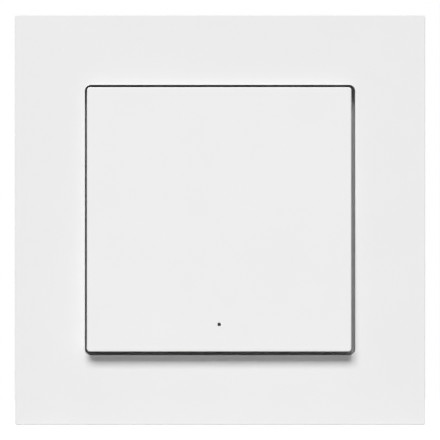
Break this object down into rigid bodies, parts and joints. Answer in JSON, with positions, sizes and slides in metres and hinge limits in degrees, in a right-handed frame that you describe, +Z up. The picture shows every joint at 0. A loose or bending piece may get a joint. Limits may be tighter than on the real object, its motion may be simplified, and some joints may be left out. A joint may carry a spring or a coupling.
{
  "type": "wireless remote wall switch",
  "caption": "Square white wall remote with a flat frame, a large tilting rocker with a small light hole, and a battery radio module on a screw-on wall plate.",
  "frame": {"origin": "centre of the wall plate's back face, which lies on the wall", "axes": "+X to the right and +Z up as seen from the front, +Y into the wall; the rocker faces -Y"},
  "size_m": [0.086, 0.0165, 0.086],
  "materials": {
    "white_plastic": "fine satin, moulded white",
    "plate_plastic": "matte light grey, moulded",
    "carrier_plastic": "matte light grey, moulded",
    "dark_plastic": "matte graphite, moulded",
    "board": "green solder mask",
    "switch_housing": "matte black",
    "switch_stem": "natural, slightly glossy",
    "lens": "clear light guide",
    "lamp": "small light package",
    "tin": "tinned sheet",
    "nickel": "nickel plated spring steel",
    "chip": "black moulded package",
    "crystal_can": "bright lid",
    "capacitor_can": "bare aluminium can",
    "antenna_wire": "tinned brass wire",
    "cell_jacket": "printed sleeve, plain",
    "button_plastic": "light grey button",
    "screw_steel": "zinc plated"
  },
  "bodies": {
    "housing": {"frame": "white_plastic", "wall_plate": "plate_plastic", "module_base": "dark_plastic", "module_carrier": "carrier_plastic", "circuit_board": "board", "upper_switch_body": "switch_housing", "lower_switch_body": "switch_housing", "status_led": "lamp", "light_guide": "lens", "radio_shield": "tin", "radio_chip": "chip", "crystal": "crystal_can", "capacitor": "capacitor_can", "antenna": "antenna_wire", "battery_left": "cell_jacket", "battery_right": "cell_jacket", "positive_contact": "nickel", "negative_contact": "nickel", "contact_bridge": "nickel", "battery_spring_left": "nickel", "battery_spring_right": "nickel", "pairing_switch_body": "switch_housing", "housing_screws": "screw_steel"},
    "rocker": {"rocker": "white_plastic"},
    "upper_stem": {"upper_switch_stem": "switch_stem"},
    "lower_stem": {"lower_switch_stem": "switch_stem"},
    "pairing_button": {"pairing_button": "button_plastic", "pairing_switch_stem": "switch_stem"}
  },
  "joints": [
    {"name": "rocker_tilt", "type": "hinge", "parent": "housing", "child": "rocker", "pos_m": [0, -0.0116, 0], "axis": [1, 0, 0], "range_deg": [-2, 2], "stiffness_Nm_per_rad": 0.8},
    {"name": "upper_stem_slide", "type": "slide", "parent": "housing", "child": "upper_stem", "axis": [0, -1, 0], "range_m": [-0.00065, 0.00065]},
    {"name": "lower_stem_slide", "type": "slide", "parent": "housing", "child": "lower_stem", "axis": [0, -1, 0], "range_m": [-0.00065, 0.00065]},
    {"name": "pairing_button_press", "type": "slide", "parent": "housing", "child": "pairing_button", "axis": [0, -1, 0], "range_m": [0, 0.0003], "stiffness_N_per_m": 1500, "springref_m": -0.0001}
  ],
  "couplings": [
    {"joint": "upper_stem_slide", "follows": "rocker_tilt", "m_per_rad": 0.01655},
    {"joint": "lower_stem_slide", "follows": "rocker_tilt", "m_per_rad": -0.01655}
  ]
}
